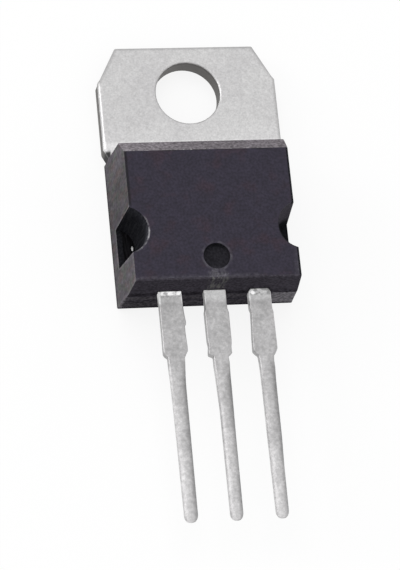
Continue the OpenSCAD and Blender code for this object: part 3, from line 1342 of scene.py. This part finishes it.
@dataclass
class Header:
    """The stamped header: the drilled tab, the die pad and the ears, in one with the centre lead.

    Sizes are in millimetres.

    Attributes:
        half_w: Half the width of the tab.
        end: Free end of the tab.
        thickness: Thickness of the header.
        hole_r: Radius of the mounting hole.
        corner: Width and length cut off each free corner.
        step: Width and length of the small step where that cut meets the side.
        neck_y: Where the tab starts to step in.
        neck_half: Half its width at the body.
        pad_half: Half the width of the die pad.
        pad_end: Lead end of the pad.
        ear_half: Half the width of the ears.
        ear_top: Where the ears start.
    """

    half_w: float
    end: float
    thickness: float
    hole_r: float
    neck_y: float
    pad_end: float
    corner: tuple[float, float] = (1.15, 2.08)
    step: tuple[float, float] = (0.15, 0.2)
    neck_half: float = 4.9
    pad_half: float = 4.1
    ear_half: float = 4.84
    ear_top: float = -8.15

    def outline(self) -> tuple[np.ndarray, np.ndarray]:
        """Lists the corners of the header as it is seen from the front.

        Returns:
            The corners as [x, y], and the radius at each.
        """
        cut_w, cut_l = self.corner
        step_w, step_l = self.step
        half = [
            (self.ear_half, self.pad_end, 0.15),
            (self.ear_half, self.ear_top, 0.15),
            (self.pad_half, self.ear_top + self.ear_half - self.pad_half, 0.2),
            (self.pad_half, self.neck_y - 2.4, 0.2),
            (self.neck_half, self.neck_y - 0.55, 0.1),
            (self.half_w, self.neck_y, 0.1),
            (self.half_w, self.end - cut_l, 0.04),
            (self.half_w - step_w, self.end - cut_l + step_l, 0.04),
            (self.half_w - cut_w, self.end, 0.12)]
        sizes = np.array(half)
        return both_sides(sizes[:, :2].tolist()), np.concatenate([sizes[:, 2], sizes[::-1, 2]])

    def plate(self) -> bpy.types.Object:
        """Carries the stamped edge around the outline and around the hole, and fills both faces.

        A point of the hole's wall lies at the hole's radius and its inset from the centre.

        Returns:
            The plate, in millimetres.
        """
        corner_steps, hole_steps = 6, 96
        corners, radii = self.outline()
        inset, height = CutEdge(self.thickness, roll_w=0.22, roll_h=0.15, burnished=0.3).profile()
        around = np.stack([rounded_outline(corners, radii, value, corner_steps) for value in inset])
        level = np.broadcast_to(height[:, None, None], (*around.shape[:2], 1))
        skin = Skin()
        rim = skin.add_grid(np.concatenate([around, level], axis=-1))
        turn = np.linspace(0, 2 * np.pi, hole_steps, endpoint=False)
        radius = self.hole_r + inset
        wall = np.empty((len(inset), len(turn), 3))
        wall[..., 0] = radius[:, None] * np.cos(turn)
        wall[..., 1] = radius[:, None] * np.sin(turn)
        wall[..., 2] = height[:, None]
        hole = skin.add_grid(wall)
        skin.add_level(rim[0], hole[0])
        skin.add_level(rim[-1], hole[-1])
        return skin.piece("stamped_header")

    def build(self, lead: Lead) -> bpy.types.Object:
        """Makes the plate and joins the centre lead to it.

        Args:
            lead: The centre lead.

        Returns:
            The header, in millimetres.
        """
        piece = self.plate()
        combine(piece, "UNION", [lead.build()])
        return piece


# ---- moulding -----------------------------------------------------------------------------------


@dataclass
class Moulding:
    """The moulded body, with its drafted walls, sloped end, side notches and pin mark.

    Sizes are in millimetres, and heights are over the heatsink face.

    Attributes:
        EDGE_STEPS: Points on half of a straight end.
        CORNER_STEPS: Points on the arc of a corner.
        RIM_STEPS: Points on the small arc that leads into a notch.
        NOTCH_STEPS: Points around a notch.
        back_half: Half its width at the heatsink face.
        height: Height of the front face.
        header_t: Height of the notches' floor, on the header.
        top: Tab end at the header.
        bottom: Lead end at the parting line.
        parting: Height of the parting line.
        face_half: Half the width of the flat front face.
        foot_draft: How far the tab end leans in below the header's face.
        top_draft: How far it leans in from there to the slope.
        front_draft: How far the lead end leans in over the parting line.
        back_draft: How far it leans in below the parting line.
        slope_start: Height at which the slope starts.
        slope_run: How far the slope leans in up to the front face.
        slope_soft: Softness of the bend where it starts.
        notch_x: Distance of the notches' axes from the middle.
        notch_y: Place of the notches along the part.
        notch_r: Radius of a notch at its floor and at the front face.
        mark_y: Place of the pin mark along the part.
        mark_r: Radius of the pin mark.
        mark_depth: Depth of the pin mark.
        corner_r: Radius of the upright corners.
        rim_r: Radius of the notches' lips.
        edge_r: Radius of the front face's edge.
    """

    EDGE_STEPS: ClassVar[int] = 9
    CORNER_STEPS: ClassVar[int] = 7
    RIM_STEPS: ClassVar[int] = 6
    NOTCH_STEPS: ClassVar[int] = 41

    back_half: float
    height: float
    header_t: float
    top: float
    bottom: float
    parting: float
    face_half: float = 4.68
    foot_draft: float = 0.05
    top_draft: float = 0.02
    front_draft: float = 0.19
    back_draft: float = 0.12
    slope_start: float = 3.5
    slope_run: float = 0.9
    slope_soft: float = 0.05
    notch_x: float = 5.08
    notch_y: float = -9.4
    notch_r: tuple[float, float] = (1.15, 1.38)
    mark_y: float = -11.09
    mark_r: float = 0.75
    mark_depth: float = 0.25
    corner_r: float = 0.07
    rim_r: float = 0.04
    edge_r: float = 0.05

    def heights(self) -> tuple[np.ndarray, np.ndarray, np.ndarray]:
        """Lists the rings from the heatsink face to the front face.

        Returns:
            Each ring's height, its inset, and whether the notches are cut into it.
        """
        arc = np.linspace(0, np.pi / 2, 7)
        foot = 0.03
        support = 0.06
        low = foot * (1 - np.cos(arc[::-1]))
        rounded = self.height - self.edge_r * (1 - np.sin(arc))
        bend = self.slope_start + np.array([-0.3, -0.12, -0.06, -0.02, 0.02, 0.06, 0.12, 0.3])
        walls = [self.parting - 0.04, self.parting, self.parting + 0.04]
        z = np.concatenate([
            [0], foot * (1 - np.sin(arc[::-1])), [self.header_t - 0.05, self.header_t],
            [self.header_t], [self.header_t + 0.05], walls, bend, rounded, [self.height]])
        inset = np.concatenate([
            [foot + support], low, [0, 0], np.zeros(5 + len(bend)),
            self.edge_r * (1 - np.cos(arc)), [self.edge_r + support]])
        cut = np.arange(len(z)) >= len(low) + 3
        return z, inset, cut

    def half_outline(self) -> np.ndarray:
        """Works out the right half of every ring, from the lead end to the tab end.

        A ring runs along the lead end, around a corner arc, up the flank, over a small arc into
        the notch, around the notch clockwise, over another small arc, up the flank, around a
        corner arc and back along the tab end. Its flank leans in straight to the front face, the
        lead end leans in on both sides of the parting line, and the tab end leans in slightly and
        then follows the slope, with a hyperbola at the bend. Below the header's face the points
        of the notch lie on the straight flank. An inset moves every wall inwards.

        Returns:
            The points as [ring, place, axis].
        """
        z, inset, cut = (value[:, None] for value in self.heights())
        flank = self.back_half + (self.face_half - self.back_half) * z / self.height - inset
        behind = self.back_draft * np.clip(1 - z / self.parting, 0, 1)
        before = self.front_draft * np.clip((z - self.parting) / (self.height - self.parting), 0, 1)
        bottom = self.bottom + behind + before + inset
        rise = z - self.slope_start
        run = self.slope_run / (self.height - self.slope_start)
        over_header = (z - self.header_t) / (self.slope_start - self.header_t)
        top = (self.top - self.foot_draft * np.clip(1 - z / self.header_t, 0, 1)
               - self.top_draft * np.clip(over_header, 0, 1)
               - run * soft_ramp(rise, self.slope_soft) - inset)
        corner = np.maximum(self.corner_r - inset, 0.02)
        share = np.clip((z - self.header_t) / (self.height - self.header_t), 0, 1)
        radius = self.notch_r[0] + (self.notch_r[1] - self.notch_r[0]) * share + 0.5 * inset
        rim = np.maximum(self.rim_r - inset, 0.01)
        rim_x = flank - rim
        rim_y = np.sqrt((radius + rim) ** 2 - (self.notch_x - rim_x) ** 2)
        start = np.arctan2(-rim_y, rim_x - self.notch_x)

        edge = np.linspace(0, 1, self.EDGE_STEPS)[None, :]
        quarter = np.linspace(0, np.pi / 2, self.CORNER_STEPS)[None, :]
        small = np.linspace(0, 1, self.RIM_STEPS)[None, :]
        wide = np.linspace(0, 1, self.NOTCH_STEPS)[None, :]
        flat_x = edge * (flank - corner)
        low_x = flank - corner + corner * np.sin(quarter)
        low_y = bottom + corner - corner * np.cos(quarter)
        into = small * (start + np.pi)
        into_x = rim_x + rim * np.cos(into)
        into_y = self.notch_y - rim_y + rim * np.sin(into)
        around = start - wide * (2 * np.pi + 2 * start)
        around_x = self.notch_x + radius * np.cos(around)
        around_y = self.notch_y + radius * np.sin(around)
        notch_x = np.concatenate([into_x, around_x, into_x[:, ::-1]], axis=1)
        notch_y = np.concatenate([into_y, around_y, 2 * self.notch_y - into_y[:, ::-1]], axis=1)
        along = np.linspace(-1, 1, notch_y.shape[1])[None, :]
        notch_x = np.where(cut, notch_x, flank + 0 * notch_x)
        notch_y = np.where(cut, notch_y, self.notch_y + along * rim_y)
        ones = np.ones_like(edge)
        x = np.concatenate([flat_x, low_x, notch_x, low_x[:, ::-1], flat_x[:, ::-1]], axis=1)
        y = np.concatenate([bottom * ones, low_y, notch_y,
                            top - (low_y - bottom)[:, ::-1], top * ones], axis=1)
        return np.stack([x, y, z + 0 * x], axis=-1)

    def kinds(self, output_side: bool) -> np.ndarray:
        """Gives each quad of a half outline its kind of wall.

        On the output side the face's rolled edge gets the polished finish too, as painted shade.

        Args:
            output_side: Whether the half lies on the output lead's side.

        Returns:
            The kinds as [ring, place in the half outline].
        """
        foot_rings, edge_rings = 4, 5
        z, _, cut = self.heights()
        corner = self.EDGE_STEPS + self.CORNER_STEPS
        notch_end = corner + 2 * self.RIM_STEPS + self.NOTCH_STEPS
        in_notch = np.zeros(notch_end + corner, bool)
        in_notch[corner + 2:notch_end - 3] = True
        kinds = np.where((cut[1:] & (z[1:] > 0))[:, None] & in_notch, Wall.POLISHED, Wall.FACE)
        rolled = len(z) - edge_rings
        walls = kinds[foot_rings:rolled]
        walls[walls == Wall.FACE] = Wall.ERODED
        kinds[rolled:] = Wall.FACE
        if output_side:
            kinds[rolled:, :notch_end + 3] = Wall.POLISHED
        kinds[:, :corner - 3] = Wall.LEAD_END
        return kinds

    def shell(self) -> bpy.types.Object:
        """Mirrors the half outline, and closes the back and the front around the pin mark.

        The pin mark's section is a small arc at its lip, a straight wall and a bevel at its floor,
        and a point of it lies at its radius from the mark's centre.

        Returns:
            The body before anything is cut out of it, in millimetres.
        """
        mark_steps, lip, support = 48, 0.02, 0.04
        right = self.half_outline()
        left = right[:, ::-1] * [-1, 1, 1]
        skin = Skin()
        kinds = np.concatenate([self.kinds(True)[:, :-1], self.kinds(False)[:, -2::-1]], axis=1)
        rings = skin.add_grid(np.concatenate([right, left[:, 1:-1]], axis=1), kinds)
        turn = np.linspace(0, 2 * np.pi, mark_steps, endpoint=False)
        arc = np.linspace(0, np.pi / 2, 5)
        rim = self.mark_r + np.concatenate([
            [lip + support], lip * (1 - np.sin(arc)), [0, -lip, -lip - support]])
        floor = self.height - self.mark_depth
        level = np.concatenate([[self.height], self.height - lip * (1 - np.cos(arc)),
                                [floor + lip, floor, floor]])
        mark = np.empty((len(rim), len(turn), 3))
        mark[..., 0] = rim[:, None] * np.cos(turn)
        mark[..., 1] = self.mark_y + rim[:, None] * np.sin(turn)
        mark[..., 2] = level[:, None]
        deep = np.arange(len(rim) - 1) >= len(arc)
        finish = np.where(deep, Wall.POLISHED, Wall.FACE)
        pit = skin.add_grid(mark, np.repeat(finish[:, None], len(turn), axis=1))
        skin.add_level(rings[0])
        skin.add_level(rings[-1], pit[0])
        skin.add_end(pit[-1], Wall.POLISHED)
        return skin.piece("moulded_body")


# ---- studio -------------------------------------------------------------------------------------


@dataclass(frozen=True)
class Lamp:
    """A soft box.

    Attributes:
        name: Its name.
        place: Where it hangs, in metres.
        size: Length of its sides in metres.
        power: Its power in watts.
        in_gloss: Whether gloss shows it.
    """

    name: str
    place: Numbers
    size: float
    power: float
    in_gloss: bool = True


@dataclass
class Studio:
    """The plain pale floor, the soft light and the camera.

    Attributes:
        target: The point that the camera looks at, in metres.
        azimuth: Its bearing around the part in degrees, 0 looking along +Y.
        elevation: Its height over the horizon in degrees.
        roll: Its turn about its own line of sight in degrees.
        distance: Its distance from the target in metres.
        lens: Its focal length in millimetres, for a sensor of 36 mm.
        room: Brightness of the room's own light.
        paper: How much light the floor gives back to the part.
        shadow: Share of the floor's white that the part's shadow can take away.
        daylight: How bright the light makes a white floor.
        lamps: The soft boxes.
    """

    target: Numbers = (-0.000166, -0.011247, 0.0)
    azimuth: float = -32.144
    elevation: float = 68.216
    roll: float = 28.323
    distance: float = 0.17304
    lens: float = 193.08
    room: float = 0.6
    paper: float = 0.5
    shadow: float = 0.16
    daylight: float = 0.9
    lamps: tuple[Lamp, ...] = (
        Lamp("soft_box_left", (-0.56, 0.2, 0.26), 0.3, 0.9),
        Lamp("soft_box_over", (-0.1, 0.3, 0.6), 0.5, 1.3, False),
    )

    def camera(self) -> None:
        """Puts the camera on its line of sight, turned about it by the roll."""
        azimuth, elevation = math.radians(self.azimuth), math.radians(self.elevation)
        away = Vector((math.sin(azimuth) * math.cos(elevation),
                       -math.cos(azimuth) * math.cos(elevation), math.sin(elevation)))
        eye = bpy.data.cameras.new("camera")
        eye.lens = self.lens
        eye.sensor_width = 36
        eye.clip_start = 0.001
        holder = bpy.data.objects.new("camera", eye)
        bpy.context.scene.collection.objects.link(holder)
        place = Vector(self.target) + away * self.distance
        turn = (away.to_track_quat("Z", "Y").to_matrix()
                @ Matrix.Rotation(math.radians(self.roll), 3, "Z"))
        holder.matrix_world = Matrix.Translation(place) @ turn.to_4x4()
        bpy.context.scene.camera = holder

    def seen(self, tree: bpy.types.NodeTree) -> Socket:
        """Gives 1 for rays that show the background: straight, in gloss or through glass.

        Args:
            tree: The node tree that needs it.

        Returns:
            A number, 0 or 1.
        """
        path = tree.nodes.new("ShaderNodeLightPath")
        total = path.outputs["Is Camera Ray"]
        for name in ("Is Glossy Ray", "Is Transmission Ray"):
            add = tree.nodes.new("ShaderNodeMath")
            add.operation = "MAXIMUM"
            tree.links.new(total, add.inputs[0])
            tree.links.new(path.outputs[name], add.inputs[1])
            total = add.outputs[0]
        return total

    def floor(self) -> None:
        """Lays the floor: a pale level disc that shows white and keeps the part's shadow.

        It lies a little below the part, and its underside is clear.
        """
        reach, gap, steps = 1.5, 0.00002, 64
        turn = np.linspace(0, 2 * np.pi, steps, endpoint=False)
        ring = np.stack([reach * np.cos(turn), reach * np.sin(turn), np.full(steps, -gap)], axis=-1)
        mesh = bpy.data.meshes.new("floor")
        mesh.from_pydata(ring.tolist(), [], [list(range(len(ring)))])
        floor = bpy.data.objects.new("floor", mesh)
        bpy.context.scene.collection.objects.link(floor)
        material = bpy.data.materials.new("floor_paper")
        material.use_nodes = True
        tree = material.node_tree
        tree.nodes.clear()
        paper = tree.nodes.new("ShaderNodeBsdfDiffuse")
        paper.inputs["Color"].default_value = (self.paper, self.paper, self.paper, 1)
        white = tree.nodes.new("ShaderNodeBsdfDiffuse")
        white.inputs["Color"].default_value = (self.shadow, self.shadow, self.shadow, 1)
        glow = tree.nodes.new("ShaderNodeEmission")
        glow.inputs["Strength"].default_value = 1 - self.shadow * self.daylight
        shown = tree.nodes.new("ShaderNodeAddShader")
        picked = tree.nodes.new("ShaderNodeMixShader")
        clear = tree.nodes.new("ShaderNodeBsdfTransparent")
        faces = tree.nodes.new("ShaderNodeNewGeometry")
        sided = tree.nodes.new("ShaderNodeMixShader")
        out = tree.nodes.new("ShaderNodeOutputMaterial")
        tree.links.new(white.outputs[0], shown.inputs[0])
        tree.links.new(glow.outputs[0], shown.inputs[1])
        tree.links.new(self.seen(tree), picked.inputs[0])
        tree.links.new(paper.outputs[0], picked.inputs[1])
        tree.links.new(shown.outputs[0], picked.inputs[2])
        tree.links.new(faces.outputs["Backfacing"], sided.inputs[0])
        tree.links.new(picked.outputs[0], sided.inputs[1])
        tree.links.new(clear.outputs[0], sided.inputs[2])
        tree.links.new(sided.outputs[0], out.inputs["Surface"])
        mesh.materials.append(material)

    def light(self) -> None:
        """Lights the room evenly, white where it is seen, and hangs the soft boxes."""
        world = bpy.data.worlds.new("room")
        world.use_nodes = True
        tree = world.node_tree
        shade = tree.nodes["Background"]
        level = tree.nodes.new("ShaderNodeMapRange")
        level.inputs["To Min"].default_value = self.room
        level.inputs["To Max"].default_value = 1.0
        tree.links.new(self.seen(tree), level.inputs["Value"])
        tree.links.new(level.outputs["Result"], shade.inputs["Strength"])
        shade.inputs["Color"].default_value = (1, 1, 1, 1)
        bpy.context.scene.world = world
        for lamp in self.lamps:
            data = bpy.data.lights.new(lamp.name, "AREA")
            data.shape = "SQUARE"
            data.size = lamp.size
            data.energy = lamp.power
            thing = bpy.data.objects.new(lamp.name, data)
            bpy.context.scene.collection.objects.link(thing)
            thing.location = lamp.place
            thing.visible_glossy = lamp.in_gloss
            thing.rotation_euler = Vector(lamp.place).to_track_quat("Z", "Y").to_euler()

    def build(self) -> None:
        """Sets up the floor, the light, the camera and the plain view transform."""
        self.floor()
        self.light()
        self.camera()
        bpy.context.scene.view_settings.view_transform = "Standard"


# ---- the whole part -----------------------------------------------------------------------------


def box_mm(node: str) -> tuple[np.ndarray, np.ndarray]:
    """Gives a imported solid's lowest and highest corners in millimetres."""
    low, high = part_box(node)
    return np.array(low) / MM, np.array(high) / MM


def mount(name: str) -> dict:
    """Finds a mount of the record by its name."""
    return next(m for m in frame["record"]["mounts"] if m["name"] == name)


def side_lead(side: Side, name: str, node: str, body_end: float) -> Lead:
    """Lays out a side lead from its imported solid, with the post that holds it in the body.

    Args:
        side: The lead's place.
        name: Name of its piece.
        node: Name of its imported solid.
        body_end: Where the leads leave the body.

    Returns:
        The lead.
    """
    low, high = box_mm(node)
    back = low[2]
    centre = (low[0] + high[0]) / 2
    post_start, post_end = body_end + 0.3, body_end + 0.6
    path = np.array([[high[1], back], [post_start, back]])
    return Lead(name, centre, path, body_end, low[1], EDGES[side], high[2] - low[2],
                post=((high[0] - low[0]) / 2, post_start, post_end))


def centre_lead(header_t: float, back: float, pad_end: float, body_end: float) -> Lead:
    """Lays out the centre lead, which leaves the pad level and is bent up to the side leads.

    Args:
        header_t: Thickness of the header, whose face the lead shares.
        back: Height of the leads' back face.
        pad_end: Lead end of the pad.
        body_end: Where the leads leave the body.

    Returns:
        The lead.
    """
    thickness, overlap, run, angle = 0.5, 0.3, 0.43, math.radians(60)
    low = header_t - thickness
    bend = pad_end - run
    path = np.array([[pad_end + overlap, low], [bend, low],
                     [bend - (back - low) / math.tan(angle), back], [body_end + 0.1, back]])
    tip = box_mm("ground_lead")[0][1]
    return Lead("ground_strip", 0.0, path, body_end, tip, EDGES[Side.GROUND], thickness)


def dress_body(body: bpy.types.Object, moulding: Moulding) -> None:
    """Gives the body the finishes of its kinds of wall.

    Args:
        body: The cut body, in millimetres.
        moulding: The sizes that it was made from.
    """
    crest = moulding.top - moulding.slope_run
    notch = (moulding.notch_x, moulding.notch_y)
    # the notches widen from the header up, so carried on down to the back they are narrower
    back_notch_r = moulding.notch_r[0] - 0.09
    mark = (moulding.mark_y, moulding.mark_r)
    face = FaceEpoxy(moulding.bottom + moulding.front_draft, crest, moulding.face_half, mark,
                     (*notch, moulding.notch_r[1]))
    polished = PolishedEpoxy(mark, moulding.notch_y, moulding.height, moulding.face_half)
    lead_end = LeadEndEpoxy(moulding.parting)
    eroded = ErodedEpoxy((crest, moulding.bottom), (*notch, back_notch_r))
    finishes = {Wall.FACE: face.material("face_epoxy"),
                Wall.POLISHED: polished.material("notch_epoxy"),
                Wall.LEAD_END: lead_end.material("end_epoxy"),
                Wall.ERODED: eroded.material("eroded_epoxy")}
    finish_piece(body, [finishes[wall] for wall in Wall], "epoxy", "epoxy_body")


def main() -> None:
    """Builds and dresses every piece, and reports each."""
    logging.basicConfig(level=logging.INFO, format="%(message)s")
    body_low, body_high = box_mm("epoxy_body")
    tab_high = box_mm("tab_header")[1]
    back = box_mm("input_lead")[0][2]
    hole = mount("tab_hole")["dims"]
    header_t, hole_r = hole["length_mm"], hole["r_mm"]
    end, top = body_low[1], body_high[1]
    # the pad's lead end, and how far from the body the tab starts to step in
    pad_end, neck_gap = -10.6, 0.52

    Studio().build()

    header = Header(tab_high[0], tab_high[1], header_t, hole_r, top + neck_gap, pad_end)
    header_piece = header.build(centre_lead(header_t, back, pad_end, end))
    input_piece = side_lead(Side.INPUT, "input_strip", "input_lead", end).build()
    output_piece = side_lead(Side.OUTPUT, "output_strip", "output_lead", end).build()

    moulding = Moulding(body_high[0], body_high[2], header_t, top, end, back)
    body = moulding.shell()
    wire = PlainMetal((0.75, 0.75, 0.77), 0.22, 0.05)
    inner = {
        "silicon_die": PlainMetal((0.3, 0.32, 0.36), 0.12, 0.5),
        "die_attach_solder": PlainMetal((0.5, 0.5, 0.48), 0.45, 0.2),
        "input_bond_wire": wire,
        "output_bond_wire": wire,
        "output_sense_wire": wire,
        "ground_bond_wire": wire}
    tools = [worn_copy(header_piece, "header_tool", -1.0),
             worn_copy(input_piece, "input_tool", 0.0),
             worn_copy(output_piece, "output_tool", 0.0)]
    combine(body, "DIFFERENCE", tools + [packed_copy(node) for node in inner])

    tin = TinPlate(header_t, hole_r, end, top)
    plate, lead_tin = tin.material("tinned_copper_plate"), tin.material("tinned_lead_plate")
    finish_piece(header_piece, [plate], "tinned_copper", "tab_header", "ground_lead")
    finish_piece(input_piece, [lead_tin], "tinned_lead", "input_lead")
    finish_piece(output_piece, [lead_tin], "tinned_lead", "output_lead")
    dress_body(body, moulding)
    for node, finish in inner.items():
        piece = frame["nodes"][node]
        piece.data.materials.clear()
        piece.data.materials.append(finish.material(node + "_finish"))
        log.info("%s: keeps its packed solid", node)


if __name__ == "__main__":
    main()
